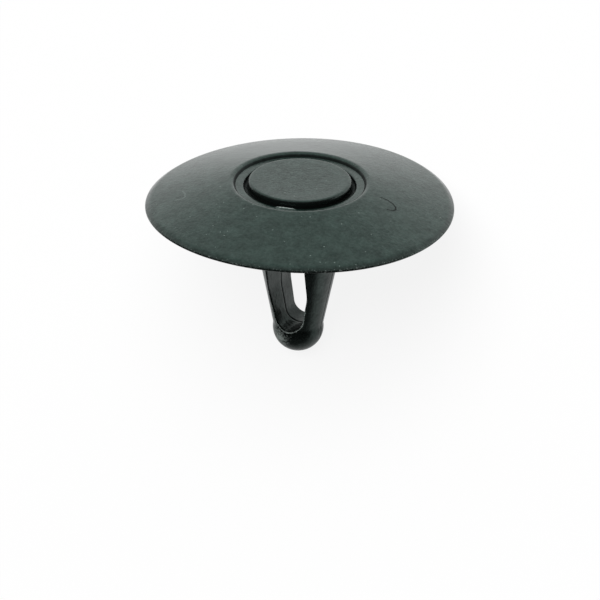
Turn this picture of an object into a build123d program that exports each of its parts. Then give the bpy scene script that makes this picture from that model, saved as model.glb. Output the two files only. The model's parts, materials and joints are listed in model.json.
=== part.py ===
"""Push-in clip that holds an insulation mat under a hood, moulded in one piece of nylon.

A wide, shallow head carries a stepped recess with a round push face in its middle.
Under the head a round stem is split by a slot into two legs that meet in a ball tip.
The clip is drawn upright on its own axis and then laid down on its rim and its tip,
which is how it comes to rest on a table. All sizes are in millimetres.
"""

import os
from math import asin, atan2, cos, hypot, radians, sin

from build123d import *

# Head. Heights are counted up from the middle of the rim's edge.
head_diameter = 30.0
rim_thickness = 0.42
rim_edge_break = 0.12
rim_slope_angle = 17.5
lip_diameter = 13.06
lip_height = 2.46
lip_rounding = 0.22

# Recess: a steep wall down from the lip, a ledge, and a narrow groove round the push face
recess_wall_draft = 0.28
ledge_depth = 0.32
ledge_width = 0.8
ledge_edge_break = 0.15
groove_width = 0.41
groove_depth = 0.45
push_face_rise = 0.26
push_face_rounding = 0.3

# Underside: a flat ring round the stem, and a hollow cone from there to the rim
hub_diameter = 12.0
hub_height = 0.95

# Stem. Depths are counted down from the middle of the rim's edge.
neck_diameter = 6.4
neck_root_break = 0.5
neck_end_depth = 4.05
neck_end_rounding = 0.5
catch_width = 0.65
catch_length = 1.55
widest_rounding = 0.6
tip_ball_diameter = 4.95
tip_ball_step = 0.13
tip_depth = 15.42

# Slot that makes the two legs, measured in the middle, where it is narrowest
leg_thickness_at_neck = 1.3
leg_thickness_at_tip = 1.1
tip_thickness = 2.9
slot_top_depth = 1.05
slot_top_rounding = 1.0
slot_taper_length = 2.4
slot_knee_rounding = 5.0
slot_draft_angle = 3.0

# Head and recess radii and heights that follow from the sizes above
head_radius = head_diameter / 2
rim_face_radius = head_radius - rim_edge_break
rim_face_height = rim_thickness / 2
rim_band_height = rim_face_height - rim_edge_break
rim_slope = radians(rim_slope_angle)
lip_radius = lip_diameter / 2
ledge_height = lip_height - ledge_depth
groove_outer_radius = lip_radius - recess_wall_draft - ledge_width
groove_floor_height = ledge_height - groove_depth
push_face_radius = groove_outer_radius - groove_width
push_face_height = lip_height + push_face_rise
hub_radius = hub_diameter / 2

# Stem and slot radii and depths that follow from the sizes above
neck_radius = neck_diameter / 2
widest_radius = neck_radius + catch_width
widest_depth = neck_end_depth + catch_length
tip_ball_radius = tip_ball_diameter / 2
tip_ball_depth = tip_depth - tip_ball_radius
leg_end_radius = tip_ball_radius - tip_ball_step
slot_half_width = neck_radius - leg_thickness_at_neck
slot_floor_radius = tip_ball_radius - leg_thickness_at_tip
slot_floor_centre_depth = tip_depth - tip_thickness - slot_floor_radius
slot_knee_depth = slot_floor_centre_depth - slot_taper_length
slot_side_height = slot_knee_depth - slot_top_depth


def corner_at(sketch, across, up):
    """The corner of a sketch that is nearest to a point."""
    return sketch.vertices().sort_by_distance((across, up))[0]


with BuildPart() as upright:
    # Half section of the head and the legs, turned once about the stem's axis
    with BuildSketch(Plane.XZ) as section:
        with BuildLine():
            crown = TangentArc(
                (rim_face_radius, rim_face_height),
                (lip_radius, lip_height),
                tangent=(-cos(rim_slope), sin(rim_slope)),
            )
            Polyline(
                crown @ 1,
                (lip_radius - recess_wall_draft, ledge_height),
                (groove_outer_radius, ledge_height),
                (groove_outer_radius, groove_floor_height),
                (push_face_radius, groove_floor_height),
                (push_face_radius, push_face_height),
                (0, push_face_height),
                (0, -tip_ball_depth),
                (leg_end_radius, -tip_ball_depth),
                (widest_radius, -widest_depth),
                (neck_radius, -neck_end_depth),
                (neck_radius, hub_height),
                (hub_radius, hub_height),
                (rim_face_radius, -rim_face_height),
                (head_radius, -rim_band_height),
                (head_radius, rim_band_height),
                crown @ 0,
            )
        make_face()
        fillet(corner_at(section, lip_radius, lip_height), lip_rounding)
        chamfer(corner_at(section, groove_outer_radius, ledge_height), ledge_edge_break)
        fillet(corner_at(section, push_face_radius, push_face_height), push_face_rounding)
        chamfer(corner_at(section, neck_radius, hub_height), neck_root_break)
        fillet(corner_at(section, neck_radius, -neck_end_depth), neck_end_rounding)
        fillet(corner_at(section, widest_radius, -widest_depth), widest_rounding)
    revolve(axis=Axis.Z)

    # Ball that joins the two legs at the tip
    with Locations((0, 0, -tip_ball_depth)):
        Sphere(tip_ball_radius)

    # Slot between the legs, wider at both its mouths than in the middle
    with BuildSketch(Plane.XZ) as slot_outline:
        with Locations((0, -slot_floor_centre_depth)):
            Circle(slot_floor_radius)
        with Locations((0, -slot_top_depth)):
            Rectangle(2 * slot_half_width, slot_side_height, align=(Align.CENTER, Align.MAX))
        make_hull()
        for side in (-1, 1):
            fillet(corner_at(slot_outline, side * slot_half_width, -slot_knee_depth), slot_knee_rounding)
            fillet(corner_at(slot_outline, side * slot_half_width, -slot_top_depth), slot_top_rounding)
    extrude(amount=2 * widest_radius, both=True, taper=-slot_draft_angle, mode=Mode.SUBTRACT)

# Resting place: the floor touches the rim's lower edge and the side of the ball
edge_to_ball = tip_ball_depth - rim_band_height
edge_direction = atan2(head_radius, edge_to_ball)
axis_lean = edge_direction - asin(tip_ball_radius / hypot(head_radius, edge_to_ball))
rim_middle_height = tip_ball_depth * sin(axis_lean) + tip_ball_radius
rim_reach = head_radius * sin(axis_lean) + rim_band_height * cos(axis_lean)
ball_reach = tip_ball_depth * cos(axis_lean) + tip_ball_radius
rest_plane = Plane(
    origin=(0, (rim_reach - ball_reach) / 2, rim_middle_height),
    x_dir=(-1, 0, 0),
    z_dir=(0, -cos(axis_lean), sin(axis_lean)),
)

with BuildPart(rest_plane) as clip:
    add(upright.part)

clip.part.label = "clip"

os.makedirs("parts", exist_ok=True)
export_step(clip.part, "parts/clip.step")
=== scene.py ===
import json
import math

import bmesh
import bpy
import numpy as np
from mathutils import Matrix, Vector


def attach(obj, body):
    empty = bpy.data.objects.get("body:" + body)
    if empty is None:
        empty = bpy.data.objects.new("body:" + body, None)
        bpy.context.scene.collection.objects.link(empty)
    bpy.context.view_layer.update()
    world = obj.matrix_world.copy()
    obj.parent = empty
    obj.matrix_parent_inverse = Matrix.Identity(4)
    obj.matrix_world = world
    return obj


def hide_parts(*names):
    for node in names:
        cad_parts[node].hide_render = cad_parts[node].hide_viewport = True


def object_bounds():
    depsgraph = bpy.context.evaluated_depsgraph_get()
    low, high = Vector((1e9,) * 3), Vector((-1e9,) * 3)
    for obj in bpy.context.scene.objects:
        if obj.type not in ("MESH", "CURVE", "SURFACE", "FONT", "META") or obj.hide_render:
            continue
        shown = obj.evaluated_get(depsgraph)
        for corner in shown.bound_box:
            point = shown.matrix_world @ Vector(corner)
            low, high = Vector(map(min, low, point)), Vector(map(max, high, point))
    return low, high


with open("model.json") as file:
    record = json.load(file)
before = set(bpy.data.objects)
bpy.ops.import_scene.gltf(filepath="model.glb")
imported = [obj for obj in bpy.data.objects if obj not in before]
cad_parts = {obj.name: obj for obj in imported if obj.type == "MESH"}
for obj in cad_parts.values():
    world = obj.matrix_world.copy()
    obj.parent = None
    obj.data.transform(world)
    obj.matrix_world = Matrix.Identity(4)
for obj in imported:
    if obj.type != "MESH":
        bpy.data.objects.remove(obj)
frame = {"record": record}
cad_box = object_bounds()

MM = 0.001
WHITE = (1.0, 1.0, 1.0, 1.0)

# Head, in millimetres. Heights and depths are counted from the middle of the rim's edge.
head_radius = (cad_box[1][0] - cad_box[0][0]) / 2 / MM
rim_thickness = 0.42
rim_edge_break = 0.12
rim_rounding = 0.2
rim_foot_rounding = 0.1
rim_roll_width = 0.45
rim_roll_slope = math.radians(38)
rim_roll_rounding = 1.2
rim_slope = math.radians(17.5)
lip_radius = 6.53
lip_height = 2.6
lip_rounding = 0.6
hub_radius = 6.0
hub_height = 0.95
hub_rounding = 0.4

# Recess: a steep wall down from the lip, a ledge, and a narrow groove round the push face
recess_wall_draft = 0.28
wall_foot_rounding = 0.08
ledge_height = 2.14
ledge_width = 0.8
ledge_edge_rounding = 0.15
groove_width = 0.41
groove_depth = 0.45
groove_corner_rounding = 0.19
push_face_height = 2.72
push_face_rounding = 0.3

# Stem
neck_radius = 3.2
neck_root_rounding = 0.5
neck_end_depth = 4.05
neck_end_rounding = 0.5
widest_radius = 3.85
widest_depth = 5.6
widest_rounding = 0.6
tip_ball_radius = 2.475
tip_ball_step = 0.13
tip_depth = 15.42
ball_meets_leg_rounding = 0.5

# Slot between the legs, measured in the middle, where it is narrowest
leg_thickness_at_neck = 1.3
leg_thickness_at_tip = 1.1
tip_thickness = 2.9
slot_top_depth = 1.05
slot_top_rounding = 1.0
slot_taper_length = 2.4
slot_knee_rounding = 5.0
slot_draft = math.tan(math.radians(3.0))
slot_edge_rounding = 0.16

# Radii, heights and depths that follow from the sizes above
rim_face_radius = head_radius - rim_edge_break
rim_face_height = rim_thickness / 2
groove_outer_radius = lip_radius - recess_wall_draft - ledge_width
groove_floor_height = ledge_height - groove_depth
push_face_radius = groove_outer_radius - groove_width
tip_ball_depth = tip_depth - tip_ball_radius
leg_end_radius = tip_ball_radius - tip_ball_step
slot_half_width = neck_radius - leg_thickness_at_neck
slot_floor_radius = tip_ball_radius - leg_thickness_at_tip
slot_floor_centre_depth = tip_depth - tip_thickness - slot_floor_radius
slot_knee_depth = slot_floor_centre_depth - slot_taper_length

# What moulding has done to it, in millimetres: the thin rim has dropped over the two legs and risen over
# the slot's two mouths, a burr stands on the ledge, and the mould's halves left a line in the slot
rim_drop = 0.06
rim_twist = 0.19
rim_twist_direction = math.radians(172.5)
burr_height = 0.14
burr_middle = math.radians(281)
burr_half_length = math.radians(11)
parting_line_depth = 0.05
parting_line_width = 0.2

# How pale the edges are painted, from 0 to 1: on the rim for wear, on the lip and the slot's mouth as painted
# highlights; and the depths between which the slot's edge turns from its sides' highlight to its lower end's
lip_highlight = 0.3
rim_wear = 0.22
slot_side_highlight = 0.25
slot_end_highlight = 0.55
slot_end_highlight_depths = (8, 11)

# Marks, as places in millimetres in the clip's own directions: two lines on the head, a painted highlight on
# the ball
hook_scratch = (
    (8.2, 1.1), (8.85, 1.18), (9.45, 1.03), (9.95, 0.72), (10.15, 0.3), (10.08, -0.05), (9.56, -0.36),
)
pale_scratch = ((-10.36, -4.72), (-9.85, -5.2), (-9.55, -5.8), (-9.62, -6.2), (-10.23, -6.43))
ball_highlight = (-0.95, -2.2, -13.5)
ball_highlight_radius = 1.9

# Sizes in the finish, in millimetres. The mould's grain and the spots of broken plastic are really
# about 0.1 mm, and are drawn coarser so that they show.
film_cloud_size = 1.3
grit_spacing = 0.6
worn_spot_size = 0.2
fine_grain_size = 0.3
fine_grain_depth = 0.02
coarse_grain_size = 0.6
coarse_grain_depth = 0.03

# How finely the skin is laid out: the longest step along a section, and the steps of the crown's arc and
# of the ball's
head_step = 0.3
stem_step = 0.2
crown_steps = 24
ball_steps = 39

# How many points the edge of the slot has, over its top, down one side and round half of its floor, and
# how many rings lie on the slot's wall, on its mouth's rounded edge and on the stem outside it
slot_top_steps = 72
slot_side_steps = 64
slot_floor_steps = 32
wall_rings = 12
edge_rings = 6
outside_rings = 14

# The clip's own directions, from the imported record: its axis leaves the push face
push_face = next(mount for mount in frame["record"]["mounts"] if mount["name"] == "push_face")
axis = Vector(push_face["axis"]).normalized()
leg_to_leg = Vector((-1, 0, 0))
through_slot = axis.cross(leg_to_leg)
rim_middle = Vector(push_face["pos_m"]) - axis * push_face_height * MM
clip_turn = Matrix((leg_to_leg, through_slot, axis)).transposed()

# Camera: its direction from the slot's mouth and from the rim's plane, and where the photograph has the
# middle of the rim
view_azimuth = math.radians(25.5)
view_elevation = math.radians(25.4)
view_roll = math.radians(0.7)
camera_distance = 2000 * MM
pixels_per_metre = 10.31 / MM
image_size = 600
rim_pixel = (299.7, 204.9)
sensor_width = 36.0

# Studio: a panel overhead, a world that is bright on one side, and a white board, in metres and watts
panel_diameter = 1.6
panel_power = 26
panel_place = (0, -0.3, 1.5)
bright_side = (0.25, -0.95, 0.1)
bright_level = 0.84
dim_level = 0.04
board_half_size = 3.0
board_paleness = 0.9

# How much of the board is plain white, without the object's shadow, to the camera and in reflections
seen_white = 0.88
mirrored_white = 0.55

# Where reflections of the board fade towards the camera, along Y, and the level that is left there
mirrored_fade_start = 8 * MM
mirrored_fade_end = 19 * MM
mirrored_dark_level = 0.1


def linear(hex_colour):
    """An sRGB hex colour as linear red, green, blue and alpha."""
    values = [int(hex_colour[i:i + 2], 16) / 255 for i in (1, 3, 5)]
    return tuple(v / 12.92 if v <= 0.04045 else ((v + 0.055) / 1.055) ** 2.4 for v in values) + (1.0,)


def add_node(tree, kind, links=(), **settings):
    """A node with its settings. Each input gets a value, a socket, or the first output of a node."""
    node = tree.nodes.new(kind)
    for name, value in settings.items():
        setattr(node, name, value)
    for name, value in dict(links).items():
        if isinstance(value, bpy.types.Node):
            value = next(output for output in value.outputs if output.enabled)
        if isinstance(value, bpy.types.NodeSocket):
            tree.links.new(value, node.inputs[name])
        else:
            node.inputs[name].default_value = value
    return node


def unit(vector):
    """The vector at a length of 1."""
    return vector / np.linalg.norm(vector)


def tangent_arc(start, heading, end, count):
    """Points of the arc that leaves start in the given direction and reaches end."""
    chord = np.subtract(end, start)
    first = math.atan2(heading[1], heading[0])
    half_turn = math.atan2(chord[1], chord[0]) - first
    radius = np.linalg.norm(chord) / (2 * math.sin(half_turn))
    turns = first + 2 * half_turn * np.linspace(0, 1, count + 1)
    across = start[0] + radius * (np.sin(turns) - math.sin(first))
    up = start[1] - radius * (np.cos(turns) - math.cos(first))
    return list(zip(across, up))


def rounded(corners, arc_step=0.05):
    """A section's points, with each corner (across, up, rounding) turned into an arc."""
    points = []
    for index, (across, up, rounding) in enumerate(corners):
        corner = np.array((across, up))
        if rounding == 0:
            points.append(corner)
            continue
        before = unit(np.array(corners[index - 1][:2]) - corner)
        after = unit(np.array(corners[index + 1][:2]) - corner)
        half_angle = math.acos(before @ after) / 2
        middle = corner + unit(before + after) * rounding / math.sin(half_angle)
        start = corner + before * rounding / math.tan(half_angle) - middle
        end = corner + after * rounding / math.tan(half_angle) - middle
        turn = math.pi - 2 * half_angle
        for part in np.linspace(0, 1, max(3, round(rounding * turn / arc_step)) + 1):
            swung = start * math.sin((1 - part) * turn) + end * math.sin(part * turn)
            points.append(middle + swung / math.sin(turn))
    return np.array(points)


def filled(points, step):
    """The same line with points added, so that neighbours lie no more than a step apart."""
    line = [points[0]]
    for near, far in zip(points, points[1:]):
        count = math.ceil(np.linalg.norm(far - near) / step)
        line += [near + (far - near) * part / count for part in range(1, count + 1)]
    return np.array(line)


def spaced(points, count):
    """The same line as count equal runs."""
    reached = np.concatenate(([0], np.cumsum(np.linalg.norm(np.diff(points, axis=0), axis=1))))
    wanted = np.linspace(0, reached[-1], count + 1)
    return np.column_stack([np.interp(wanted, reached, points[:, part]) for part in (0, 1)])


def head_section():
    """From the middle of the push face over the lip and the rim's edge to the neck."""
    crown = tangent_arc((rim_face_radius, rim_face_height), (-math.cos(rim_slope), math.sin(rim_slope)),
                        (lip_radius, lip_height), crown_steps)
    roll_height = rim_face_height + (rim_roll_width - rim_edge_break) * math.tan(rim_slope)
    underside_slope = (hub_height + rim_face_height) / (rim_face_radius - hub_radius)
    corners = [
        (0, push_face_height, 0),
        (push_face_radius, push_face_height, push_face_rounding),
        (push_face_radius, groove_floor_height, groove_corner_rounding),
        (groove_outer_radius, groove_floor_height, groove_corner_rounding),
        (groove_outer_radius, ledge_height, ledge_edge_rounding),
        (lip_radius - recess_wall_draft, ledge_height, wall_foot_rounding),
        (lip_radius, lip_height, lip_rounding),
    ]
    # the crown's ends are left out, because the lip's rounding and the rolled rim take their place
    corners += [(across, up, 0) for across, up in reversed(crown[2:-2])]
    corners += [
        (head_radius - rim_roll_width, roll_height, rim_roll_rounding),
        (head_radius, roll_height - rim_roll_width * math.tan(rim_roll_slope), rim_rounding),
        (head_radius, -rim_face_height - rim_edge_break * underside_slope, rim_foot_rounding),
        (hub_radius, hub_height, hub_rounding),
        (neck_radius, hub_height, neck_root_rounding),
        (neck_radius, 0, 0),
    ]
    return filled(rounded(corners), head_step)


def stem_section():
    """From the neck over the legs' widest place to the pole of the ball."""
    widest = np.array((widest_radius, -widest_depth))
    ball_middle = np.array((0, -tip_ball_depth))
    slope = unit(np.array((leg_end_radius, -tip_ball_depth)) - widest)
    # the leg's line enters the ball a little above the ball's middle
    along = (ball_middle - widest) @ slope
    aside = np.linalg.norm(ball_middle - widest - slope * along)
    entry = widest + slope * (along - math.sqrt(tip_ball_radius ** 2 - aside ** 2))
    first = math.atan2(*reversed(entry - ball_middle))
    ball = [ball_middle + tip_ball_radius * np.array((math.cos(turn), math.sin(turn)))
            for turn in np.linspace(first, -math.pi / 2, ball_steps + 1)]
    corners = [
        (neck_radius, 0, 0),
        (neck_radius, -neck_end_depth, neck_end_rounding),
        (*widest, widest_rounding),
        (*entry, ball_meets_leg_rounding),
    ]
    # the ball's first points lie inside the rounding where the leg meets it
    corners += [(*point, 0) for point in ball[2:]]
    return filled(rounded(corners), stem_step)


class Skin:
    """The moulding's surface while it is being laid out, in millimetres in the clip's own directions."""

    def __init__(self):
        self.points = []
        self.wear_and_highlight = []
        self.faces = []

    def ring(self, points, wear_and_highlight=0.0):
        """A ring's points, and how pale the surface there is painted, from 0 to 1: wear on the rim, painted
        highlights elsewhere.
        """
        first = sum(len(part) for part in self.points)
        self.points.append(np.asarray(points, float).reshape(-1, 3))
        self.wear_and_highlight.append(np.broadcast_to(wear_and_highlight, len(self.points[-1])))
        return list(range(first, first + len(self.points[-1])))

    def join(self, ring, smaller):
        """Faces from a closed ring to one with as many points, a whole fraction of them, or a single one."""
        share = len(ring) // len(smaller)
        for step, point in enumerate(smaller):
            outer = [ring[(step * share + part) % len(ring)] for part in range(share + 1)]
            following = smaller[(step + 1) % len(smaller)]
            if len(smaller) > 1:
                self.faces.append([point, *outer, following])
            else:
                self.faces += [[point, *pair] for pair in zip(outer, outer[1:])]


def steps_around(radius):
    """How many points a turned ring has, fewer towards the axis."""
    for least, count in ((9.0, 576), (4.5, 288), (1.5, 144), (0.4, 36)):
        if radius > least:
            return count
    return 1 if radius < 0.01 else 12


def near_edge(across, up, edge, width):
    """1 on an edge of the section, and less away from it."""
    return math.exp(-((across - edge[0]) ** 2 + (up - edge[1]) ** 2) / width ** 2)


def turn_head(skin):
    """The head, turned from its section, with its rim out of true and the burr on its ledge."""
    lip_crest = (lip_radius - 0.05, lip_height - 0.12)
    rim_crest = (head_radius - 0.05, 0)
    ledge_edge = (groove_outer_radius + 0.04, ledge_height - 0.04)
    previous = None
    for across, up in head_section():
        turns = np.linspace(0, 2 * math.pi, steps_around(across), endpoint=False)
        outward = max(0, across - lip_radius) / (head_radius - lip_radius)
        bend = -rim_drop - rim_twist * np.cos(2 * (turns - rim_twist_direction))
        along_burr = np.clip(1 - ((turns - burr_middle) / burr_half_length) ** 2, 0, 1)
        burr = along_burr ** 0.5 * near_edge(across, up, ledge_edge, 0.1)
        heights = up + outward ** 1.5 * bend + burr * burr_height
        # the lip's edge is painted pale as a highlight on the side that the camera sees; the rim is worn all
        # round
        seen_side = np.clip(-np.sin(turns), 0, 1)
        edge_wear_and_highlight = lip_highlight * seen_side * near_edge(across, up, lip_crest, 0.14)
        edge_wear_and_highlight += rim_wear * near_edge(across, up, rim_crest, 0.3)
        places = np.column_stack([across * np.cos(turns), across * np.sin(turns), heights])
        # the burr is painted pale as its glint, a painted highlight
        ring = skin.ring(places, np.maximum(burr, edge_wear_and_highlight))
        if previous:
            skin.join(*sorted((ring, previous), key=len, reverse=True))
        previous = ring


def slot_outline():
    """The slot's closed outline in the plane between its mouths, clockwise from the middle of its top."""
    middle = np.array((0, -slot_floor_centre_depth))
    knee = np.array((slot_half_width, -slot_knee_depth))
    leg = knee - middle
    # the side runs from the knee into the round floor without a corner
    meets_floor = math.atan2(leg[1], leg[0]) - math.acos(slot_floor_radius / np.linalg.norm(leg))
    floor = np.array([middle + slot_floor_radius * np.array((math.cos(turn), math.sin(turn)))
                      for turn in np.linspace(meets_floor, -math.pi / 2, slot_floor_steps + 1)])
    top_centre = (0, -slot_top_depth, 0)
    top_corner = (slot_half_width, -slot_top_depth, slot_top_rounding)
    side_start = (slot_half_width, -slot_top_depth - slot_top_rounding, 0)
    top = spaced(rounded([top_centre, top_corner, side_start]), slot_top_steps // 2)
    side = spaced(rounded([side_start, (*knee, slot_knee_rounding), (*floor[0], 0)]), slot_side_steps)
    half = np.concatenate([top[:-1], side[:-1], floor])
    return np.concatenate([half, (half * (-1, 1))[-2:0:-1]])


def stem_boundary():
    """Where the front half of the stem's skin ends: half the neck's ring, and the sides down to the pole."""
    section = stem_section()
    legs = section[section[:, 1] >= -tip_ball_depth]
    ball = section[section[:, 1] <= -tip_ball_depth]
    turns = np.linspace(-math.pi / 2, 0, slot_top_steps // 2 + 1)
    neck = np.column_stack([neck_radius * np.cos(turns), neck_radius * np.sin(turns), 0 * turns])
    side = np.concatenate([spaced(legs, slot_side_steps)[:-1], spaced(ball, slot_floor_steps)])
    side = np.column_stack([side[:, 0], 0 * side[:, 0], side[:, 1]])
    half = np.concatenate([neck[:-1], side])
    return np.concatenate([half, (half * (-1, 1, 1))[-2:0:-1]])


def add_legs(skin):
    """The split stem: its outside, the slot's walls, and the rounded edges of the slot's two mouths."""
    section = stem_section()[::-1]

    def radius_at(height):
        return np.interp(height, section[:, 1], section[:, 0])

    def depth_at(across, height):
        return np.sqrt(np.maximum(radius_at(height) ** 2 - across ** 2, 0))

    def on_stem(points):
        """The points moved straight out from the axis, or from the ball's middle, onto the stem's outside."""
        points = points.copy()
        above = points[:, 2] > -tip_ball_depth
        from_axis = np.linalg.norm(points[above, :2], axis=1)
        points[above, :2] *= (radius_at(points[above, 2]) / from_axis)[:, None]
        ball_middle = np.array((0, 0, -tip_ball_depth))
        from_middle = points[~above] - ball_middle
        outward = from_middle / np.linalg.norm(from_middle, axis=1)[:, None]
        points[~above] = ball_middle + tip_ball_radius * outward
        return points

    outline = slot_outline()
    along = np.roll(outline, -1, axis=0) - np.roll(outline, 1, axis=0)
    outward = np.column_stack([-along[:, 1], along[:, 0]]) / np.linalg.norm(along, axis=1)[:, None]
    # the draft widens the slot towards its mouth, and the wider mouth lies less deep in the round stem
    mouth_depth = depth_at(*outline.T)
    for _ in range(8):
        mouth = outline + outward * (mouth_depth * slot_draft)[:, None]
        mouth_depth = depth_at(*mouth.T)

    def on_wall(side, depth):
        widened = outline + outward * (depth * slot_draft)[:, None]
        return np.column_stack([widened[:, 0], side * depth, widened[:, 1]])

    boundary = stem_boundary()
    wall_start = mouth_depth - slot_edge_rounding
    outside = mouth + outward * slot_edge_rounding
    for side in (-1, 1):
        parting_line = outline + outward * parting_line_depth
        rings = [np.column_stack([parting_line[:, 0], 0 * parting_line[:, 0], parting_line[:, 1]])]
        rings += [on_wall(side, parting_line_width / 2 + (wall_start - parting_line_width / 2) * part)
                  for part in np.linspace(0, 1, wall_rings + 1)]
        inner, corner = rings[-1], on_wall(side, mouth_depth)
        outer = np.column_stack([outside[:, 0], side * depth_at(*outside.T), outside[:, 1]])
        edge_middle = len(rings) + edge_rings // 2
        for part in np.linspace(0, 1, edge_rings + 1)[1:]:
            rings.append(inner * (1 - part) ** 2 + 2 * corner * part * (1 - part) + outer * part ** 2)
        edge = boundary * (1, -side, 1)
        for part in np.linspace(0, 1, outside_rings + 1)[1:]:
            rings.append(on_stem(outer + (edge - outer) * part))
        # the mouth's edge is painted pale as a highlight, most round the slot's lower end
        pale_amount = np.interp(-mouth[:, 1], slot_end_highlight_depths, (slot_side_highlight, slot_end_highlight))
        rings = [skin.ring(ring, pale_amount * math.exp(-((step - edge_middle) / 2) ** 2))
                 for step, ring in enumerate(rings)]
        for near, far in zip(rings, rings[1:]):
            skin.join(near, far)


def make_clip():
    """The clip in one piece, laid where the CAD solid lies."""
    skin = Skin()
    turn_head(skin)
    add_legs(skin)
    points = np.concatenate(skin.points)
    places = points * MM @ np.array(clip_turn).T + np.array(rim_middle)
    mesh = bpy.data.meshes.new("clip_skin")
    mesh.from_pydata(places.tolist(), [], skin.faces)
    mesh.attributes.new("wear_and_highlight", "FLOAT", "POINT").data.foreach_set("value", np.concatenate(skin.wear_and_highlight))
    work = bmesh.new()
    work.from_mesh(mesh)
    bmesh.ops.remove_doubles(work, verts=work.verts, dist=0.002 * MM)
    bmesh.ops.recalc_face_normals(work, faces=work.faces)
    work.to_mesh(mesh)
    work.free()
    mesh.shade_smooth()
    clip = bpy.data.objects.new("moulded_clip", mesh)
    bpy.context.scene.collection.objects.link(clip)
    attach(clip, "root")
    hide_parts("clip")
    return clip


class SurfacePoint:
    """Where the point being shaded lies on the clip, in millimetres in the clip's own directions."""

    def __init__(self, tree):
        coordinates = add_node(tree, "ShaderNodeTexCoord")
        self.place = add_node(tree, "ShaderNodeMapping", {
            "Vector": coordinates.outputs["Object"], "Location": rim_middle,
            "Rotation": clip_turn.to_euler(), "Scale": (MM, MM, MM)}, vector_type="TEXTURE")
        parts = add_node(tree, "ShaderNodeSeparateXYZ", {0: self.place})
        self.height = parts.outputs["Z"]
        self.off_parting = add_node(tree, "ShaderNodeMath", {0: parts.outputs["Y"]}, operation="ABSOLUTE")
        self.on_plan = add_node(tree, "ShaderNodeCombineXYZ",
                                {"X": parts.outputs["X"], "Y": parts.outputs["Y"]})
        self.radius = add_node(tree, "ShaderNodeVectorMath", {0: self.on_plan}, operation="LENGTH")
        facing = add_node(tree, "ShaderNodeVectorMath", {0: coordinates.outputs["Normal"], 1: axis},
                          operation="DOT_PRODUCT")
        # the crown, the ledge and the push face look along the axis, and walls don't
        self.on_top = add_node(tree, "ShaderNodeMapRange",
                               {"Value": facing, "From Min": 0.7, "From Max": 0.93},
                               interpolation_type="SMOOTHSTEP")


def drawn_line(tree, place, points):
    """How far a place on the head is from a line drawn on it through the given points, in millimetres."""
    nearest = None
    for start, end in zip(points, points[1:]):
        run = Vector((*end, 0)) - Vector((*start, 0))
        from_start = add_node(tree, "ShaderNodeVectorMath", {0: place, 1: (*start, 0)}, operation="SUBTRACT")
        along = add_node(tree, "ShaderNodeVectorMath", {0: from_start, 1: run / run.length_squared},
                         operation="DOT_PRODUCT")
        held = add_node(tree, "ShaderNodeClamp", {"Value": along})
        foot = add_node(tree, "ShaderNodeVectorMath", {0: run, "Scale": held}, operation="SCALE")
        away = add_node(tree, "ShaderNodeVectorMath", {0: from_start, 1: foot}, operation="DISTANCE")
        if nearest:
            away = add_node(tree, "ShaderNodeMath", {0: nearest, 1: away}, operation="MINIMUM")
        nearest = away
    return nearest


def recess_matt_and_shade(tree, here):
    """1 on the recess's wall and in the groove, and 0 elsewhere: they are made matt and kept without the grey
    film, so that they stay near black as painted shade.
    """
    not_on_top = add_node(tree, "ShaderNodeMath", {0: 1.0, 1: here.on_top}, operation="SUBTRACT")
    past_groove = add_node(tree, "ShaderNodeMath", {0: here.radius, 1: groove_outer_radius + ledge_width / 2},
                           operation="GREATER_THAN")
    wall = add_node(tree, "ShaderNodeMath", {0: not_on_top, 1: past_groove}, operation="MULTIPLY")
    groove = add_node(tree, "ShaderNodeMapRange", {
        "Value": here.height, "From Min": ledge_height - 0.05, "From Max": ledge_height - 0.2})
    either = add_node(tree, "ShaderNodeMath", {0: wall, 1: groove}, operation="MAXIMUM")
    inside_lip = add_node(tree, "ShaderNodeMapRange", {
        "Value": here.radius, "From Min": lip_radius + 0.1, "From Max": lip_radius})
    within = add_node(tree, "ShaderNodeMath", {0: either, 1: inside_lip}, operation="MULTIPLY")
    above_hub = add_node(tree, "ShaderNodeMath", {0: here.height, 1: 1.5}, operation="GREATER_THAN")
    return add_node(tree, "ShaderNodeMath", {0: within, 1: above_hub}, operation="MULTIPLY")


def film_except_painted_shade(tree, here, matt_and_shaded):
    """1 where a thin grey film lies: on the head's faces that look along the axis. Faces turned away, the
    recess's wall and its groove stay near black as painted shade.
    """
    in_reach = add_node(tree, "ShaderNodeMapRange", {"Value": here.height, "From Min": -0.3, "From Max": 0.1})
    film = add_node(tree, "ShaderNodeMath", {0: here.on_top, 1: in_reach}, operation="MULTIPLY")
    unshaded = add_node(tree, "ShaderNodeMath", {0: 1.0, 1: matt_and_shaded}, operation="SUBTRACT")
    return add_node(tree, "ShaderNodeMath", {0: film, 1: unshaded}, operation="MULTIPLY")


def nylon_colour(tree, film, clouds):
    """Near black, greyed by the film in cloudy patches."""
    thickness = add_node(tree, "ShaderNodeMapRange", {
        "Value": clouds, "From Min": 0.3, "From Max": 0.7, "To Min": 0.55, "To Max": 1.2})
    cloudy_film = add_node(tree, "ShaderNodeMath", {0: film, 1: thickness}, operation="MULTIPLY")
    return add_node(tree, "ShaderNodeMix", {
        "Factor": cloudy_film, "A": linear("#0b0e0d"), "B": linear("#14241f")},
        data_type="RGBA", clamp_factor=False)


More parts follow.
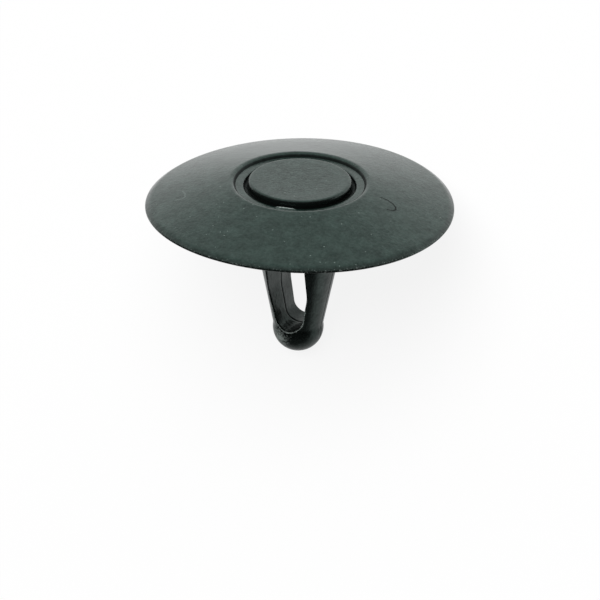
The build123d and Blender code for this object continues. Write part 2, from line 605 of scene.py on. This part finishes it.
def with_grit(tree, here, film, colour):
    """Grit and lint: pale points a tenth of a millimetre wide, about one to every three square millimetres."""
    cells = add_node(tree, "ShaderNodeTexVoronoi", {"Vector": here.place, "Scale": 1 / grit_spacing})
    chance = add_node(tree, "ShaderNodeSeparateColor", {0: cells.outputs["Color"]})
    speck_size = add_node(tree, "ShaderNodeMapRange", {
        "Value": chance.outputs["Red"], "From Min": 0.4, "From Max": 1.0, "To Min": 0.01, "To Max": 0.13})
    speck = add_node(tree, "ShaderNodeMath", {0: cells.outputs["Distance"], 1: speck_size},
                     operation="LESS_THAN")
    speck = add_node(tree, "ShaderNodeMath", {0: speck, 1: film}, operation="MULTIPLY")
    return add_node(tree, "ShaderNodeMix", {"Factor": speck, "A": colour, "B": linear("#58625e")},
                    data_type="RGBA")


def with_scratches(tree, here, film, colour):
    """Two scratches on the top: a hook cut into the film, and a fainter pale arc. Gives the hook too."""
    hook = add_node(tree, "ShaderNodeMapRange", {
        "Value": drawn_line(tree, here.on_plan, hook_scratch), "From Min": 0.11, "From Max": 0.04})
    hook = add_node(tree, "ShaderNodeMath", {0: hook, 1: film}, operation="MULTIPLY")
    colour = add_node(tree, "ShaderNodeMix", {"Factor": hook, "A": colour, "B": linear("#020202")},
                      data_type="RGBA")
    pale = add_node(tree, "ShaderNodeMapRange", {
        "Value": drawn_line(tree, here.on_plan, pale_scratch), "From Min": 0.12, "From Max": 0.04,
        "To Max": 0.35})
    pale = add_node(tree, "ShaderNodeMath", {0: pale, 1: film}, operation="MULTIPLY")
    colour = add_node(tree, "ShaderNodeMix", {"Factor": pale, "A": colour, "B": linear("#66706c")},
                      data_type="RGBA")
    return colour, hook


def wear_and_highlight_spots(tree, here, spots):
    """1 where edges and the ball are painted pale, in spots that grow with the amount: wear on the rim, and
    painted highlights on the lip, the slot's mouth, the burr and the ball.
    """
    from_ball_glint = add_node(tree, "ShaderNodeVectorMath", {0: here.place, 1: ball_highlight}, operation="DISTANCE")
    ball_glint = add_node(tree, "ShaderNodeMapRange", {
        "Value": from_ball_glint, "From Min": ball_highlight_radius, "From Max": 0.0, "To Max": 0.6})
    wear_and_highlight = add_node(tree, "ShaderNodeAttribute", attribute_name="wear_and_highlight").outputs["Fac"]
    pale_amount = add_node(tree, "ShaderNodeMath", {0: wear_and_highlight, 1: ball_glint}, operation="MAXIMUM")
    pale_amount = add_node(tree, "ShaderNodeMath", {0: pale_amount, 1: spots}, operation="ADD")
    return add_node(tree, "ShaderNodeMapRange", {"Value": pale_amount, "From Min": 0.72, "From Max": 1.15},
                    interpolation_type="SMOOTHSTEP")


def on_parting_line(tree, here):
    """1 on the line where the mould's halves met, down the middle of the stem."""
    line = add_node(tree, "ShaderNodeMapRange", {
        "Value": here.off_parting, "From Min": parting_line_width * 0.7,
        "From Max": parting_line_width * 0.3})
    below_head = add_node(tree, "ShaderNodeMath", {0: here.height, 1: hub_height}, operation="LESS_THAN")
    in_stem = add_node(tree, "ShaderNodeMath", {0: here.radius, 1: widest_radius + 0.1},
                       operation="LESS_THAN")
    line = add_node(tree, "ShaderNodeMath", {0: line, 1: below_head}, operation="MULTIPLY")
    return add_node(tree, "ShaderNodeMath", {0: line, 1: in_stem}, operation="MULTIPLY")


def nylon_roughness(tree, here, dull_worn_or_highlit, spots):
    """Satin, burnished in spots towards the rim, and rough where it is dull, worn or painted with a highlight.
    """
    towards_rim = add_node(tree, "ShaderNodeMapRange", {
        "Value": here.radius, "From Min": 11.5, "From Max": 14.5})
    burnished = add_node(tree, "ShaderNodeMapRange", {
        "Value": spots, "From Min": 0.35, "From Max": 0.6, "To Min": 0.26, "To Max": 0.06})
    satin = add_node(tree, "ShaderNodeMix", {"Factor": towards_rim, "A": 0.22, "B": burnished})
    return add_node(tree, "ShaderNodeMapRange", {"Value": dull_worn_or_highlit, "To Min": satin, "To Max": 0.6})


def nylon_gloss(tree, here, dull, clouds, fine_grain):
    """How strongly it mirrors: less where it is dull, and uneven with the clouds and the mould's grain."""
    gloss = add_node(tree, "ShaderNodeMapRange", {"Value": dull, "To Min": 0.5, "To Max": 0.24})
    uneven = add_node(tree, "ShaderNodeMapRange", {
        "Value": clouds, "From Min": 0.3, "From Max": 0.7, "To Min": 0.72, "To Max": 1.26})
    gloss = add_node(tree, "ShaderNodeMath", {0: gloss, 1: uneven}, operation="MULTIPLY")
    # thumbs have dulled the middle of the push face
    thumbed = add_node(tree, "ShaderNodeMapRange", {
        "Value": here.radius, "From Min": 1.0, "From Max": 4.2, "To Min": 0.84, "To Max": 1.02})
    gloss = add_node(tree, "ShaderNodeMath", {0: gloss, 1: thumbed}, operation="MULTIPLY")
    grained = add_node(tree, "ShaderNodeMapRange", {
        "Value": fine_grain, "From Min": 0.3, "From Max": 0.7, "To Min": 0.75, "To Max": 1.25})
    return add_node(tree, "ShaderNodeMath", {0: gloss, 1: grained}, operation="MULTIPLY")


def moulded_nylon():
    """Black nylon from a spark-eroded mould: near black and satin, with a fine grain in its gloss.

    A grey film lies on the head. The recess's wall and groove are matt and left without it, near black as
    painted shade.
    """
    material = bpy.data.materials.new("black_nylon")
    material.use_nodes = True
    tree = material.node_tree
    tree.nodes.clear()
    here = SurfacePoint(tree)
    clouds = add_node(tree, "ShaderNodeTexNoise", {
        "Vector": here.place, "Scale": 1 / film_cloud_size, "Detail": 6.0, "Roughness": 0.7})
    spots = add_node(tree, "ShaderNodeTexNoise", {
        "Vector": here.place, "Scale": 1 / worn_spot_size, "Detail": 3.0, "Roughness": 0.7})
    fine_grain = add_node(tree, "ShaderNodeTexNoise", {
        "Vector": here.place, "Scale": 1 / fine_grain_size, "Detail": 2.0})
    coarse_grain = add_node(tree, "ShaderNodeTexNoise", {
        "Vector": here.place, "Scale": 1 / coarse_grain_size, "Detail": 2.0})

    # the recess's wall and groove: matt, and near black without the film as painted shade
    matt_and_shaded = recess_matt_and_shade(tree, here)
    film = film_except_painted_shade(tree, here, matt_and_shaded)
    colour = nylon_colour(tree, film, clouds)
    colour = with_grit(tree, here, film, colour)
    colour, hook = with_scratches(tree, here, film, colour)
    pale_wear_and_highlights = wear_and_highlight_spots(tree, here, spots)
    # pale grey: wear on the rim, and painted highlights on the lip, the slot's mouth, the burr and the ball
    colour = add_node(tree, "ShaderNodeMix", {"Factor": pale_wear_and_highlights, "A": colour, "B": linear("#98a19d")},
                      data_type="RGBA")

    dull = add_node(tree, "ShaderNodeMath", {0: matt_and_shaded, 1: hook}, operation="MAXIMUM")
    parting = on_parting_line(tree, here)
    dull = add_node(tree, "ShaderNodeMath", {0: dull, 1: parting}, operation="MAXIMUM")
    dull_worn_or_highlit = add_node(tree, "ShaderNodeMath", {0: dull, 1: pale_wear_and_highlights}, operation="MAXIMUM")

    bump = add_node(tree, "ShaderNodeBump", {
        "Height": coarse_grain, "Strength": 0.5, "Distance": coarse_grain_depth * MM})
    bump = add_node(tree, "ShaderNodeBump", {
        "Height": fine_grain, "Strength": 0.5, "Distance": fine_grain_depth * MM, "Normal": bump})
    shader = add_node(tree, "ShaderNodeBsdfPrincipled", {
        "Base Color": colour,
        "Roughness": nylon_roughness(tree, here, dull_worn_or_highlit, spots),
        "IOR": 1.53,
        "Specular IOR Level": nylon_gloss(tree, here, dull, clouds, fine_grain),
        "Specular Tint": linear("#defff5"),
        "Normal": bump})
    add_node(tree, "ShaderNodeOutputMaterial", {"Surface": shader})
    return material


def make_camera():
    """A camera that looks down on the clip as the photograph does, with the rim's middle on its pixel."""
    toward_camera = (
        (leg_to_leg * math.sin(view_azimuth) - through_slot * math.cos(view_azimuth))
        * math.cos(view_elevation) + axis * math.sin(view_elevation)
    )
    data = bpy.data.cameras.new("camera")
    camera = bpy.data.objects.new("camera", data)
    bpy.context.scene.collection.objects.link(camera)
    data.sensor_width = sensor_width
    data.lens = sensor_width * camera_distance * pixels_per_metre / image_size
    data.clip_start = 0.01
    data.clip_end = 20
    right = axis.cross(toward_camera).normalized()
    up = toward_camera.cross(right)
    # tip the optical axis so that the rim's middle lands on its pixel
    across = (rim_pixel[0] - image_size / 2) / pixels_per_metre / camera_distance
    above = (image_size / 2 - rim_pixel[1]) / pixels_per_metre / camera_distance
    rolled_right = right * math.cos(view_roll) + up * math.sin(view_roll)
    rolled_up = up * math.cos(view_roll) - right * math.sin(view_roll)
    back = (toward_camera + rolled_right * across + rolled_up * above).normalized()
    x_axis = rolled_up.cross(back).normalized()
    y_axis = back.cross(x_axis)
    rotation = Matrix((x_axis, y_axis, back)).transposed()
    place = rim_middle + toward_camera * camera_distance
    camera.matrix_world = Matrix.Translation(place) @ rotation.to_4x4()
    bpy.context.scene.camera = camera


def make_world():
    """A pale studio: bright low down behind the head, and dim overhead and behind the camera."""
    world = bpy.data.worlds.new("studio")
    bpy.context.scene.world = world
    world.use_nodes = True
    tree = world.node_tree
    tree.nodes.clear()
    direction = add_node(tree, "ShaderNodeTexCoord").outputs["Generated"]
    toward = add_node(tree, "ShaderNodeVectorMath", {0: direction, 1: bright_side}, operation="DOT_PRODUCT")
    level = add_node(tree, "ShaderNodeMapRange", {
        "Value": toward, "From Min": 0.25, "From Max": 0.75, "To Min": dim_level, "To Max": bright_level},
        interpolation_type="SMOOTHSTEP")
    path = add_node(tree, "ShaderNodeLightPath")
    room = add_node(tree, "ShaderNodeBackground", {"Color": WHITE, "Strength": level})
    seen = add_node(tree, "ShaderNodeBackground", {"Color": WHITE, "Strength": 1.0})
    mix = add_node(tree, "ShaderNodeMixShader", {0: path.outputs["Is Camera Ray"], 1: room, 2: seen})
    add_node(tree, "ShaderNodeOutputWorld", {"Surface": mix})


def make_lamp():
    """A wide soft panel overhead, left out of reflections, so that black plastic keeps its dark side."""
    data = bpy.data.lights.new("panel", "AREA")
    data.shape = "DISK"
    data.size = panel_diameter
    data.energy = panel_power
    panel = bpy.data.objects.new("panel", data)
    panel.location = panel_place
    panel.visible_glossy = False
    bpy.context.scene.collection.objects.link(panel)


def white_board():
    """White card; reflections see it bright behind the head and dark on the camera's side."""
    material = bpy.data.materials.new("white_board")
    material.use_nodes = True
    tree = material.node_tree
    tree.nodes.clear()
    place = add_node(tree, "ShaderNodeTexCoord").outputs["Object"]
    toward_camera = add_node(tree, "ShaderNodeSeparateXYZ", {0: place}).outputs["Y"]
    level = add_node(tree, "ShaderNodeMapRange", {
        "Value": toward_camera, "From Min": mirrored_fade_start, "From Max": mirrored_fade_end,
        "To Min": 1.0, "To Max": mirrored_dark_level}, interpolation_type="SMOOTHSTEP")
    path = add_node(tree, "ShaderNodeLightPath")
    reflected = add_node(tree, "ShaderNodeMath", {
        0: path.outputs["Is Glossy Ray"], 1: path.outputs["Is Transmission Ray"]}, operation="MAXIMUM")
    shade = add_node(tree, "ShaderNodeMix", {"Factor": reflected, "A": 1.0, "B": level})
    paleness = add_node(tree, "ShaderNodeMath", {0: shade, 1: board_paleness}, operation="MULTIPLY")
    board = add_node(tree, "ShaderNodeBsdfDiffuse", {"Color": paleness})
    white = add_node(tree, "ShaderNodeEmission", {"Color": WHITE, "Strength": shade})
    seen = add_node(tree, "ShaderNodeMath", {0: path.outputs["Is Camera Ray"], 1: seen_white},
                    operation="MULTIPLY")
    share = add_node(tree, "ShaderNodeMath", {0: reflected, 1: mirrored_white, 2: seen},
                     operation="MULTIPLY_ADD")
    mix = add_node(tree, "ShaderNodeMixShader", {0: share, 1: board, 2: white})
    add_node(tree, "ShaderNodeOutputMaterial", {"Surface": mix})
    return material


def make_floor():
    """The white board that the clip lies on."""
    mesh = bpy.data.meshes.new("floor")
    corners = [(board_half_size * x, board_half_size * y, 0) for x, y in ((-1, -1), (1, -1), (1, 1), (-1, 1))]
    mesh.from_pydata(corners, [], [(0, 1, 2, 3)])
    mesh.materials.append(white_board())
    floor = bpy.data.objects.new("floor", mesh)
    bpy.context.scene.collection.objects.link(floor)


bpy.context.scene.view_settings.view_transform = "Standard"
make_camera()
make_world()
make_lamp()
make_floor()
moulded_clip = make_clip()
moulded_clip.data.materials.append(moulded_nylon())
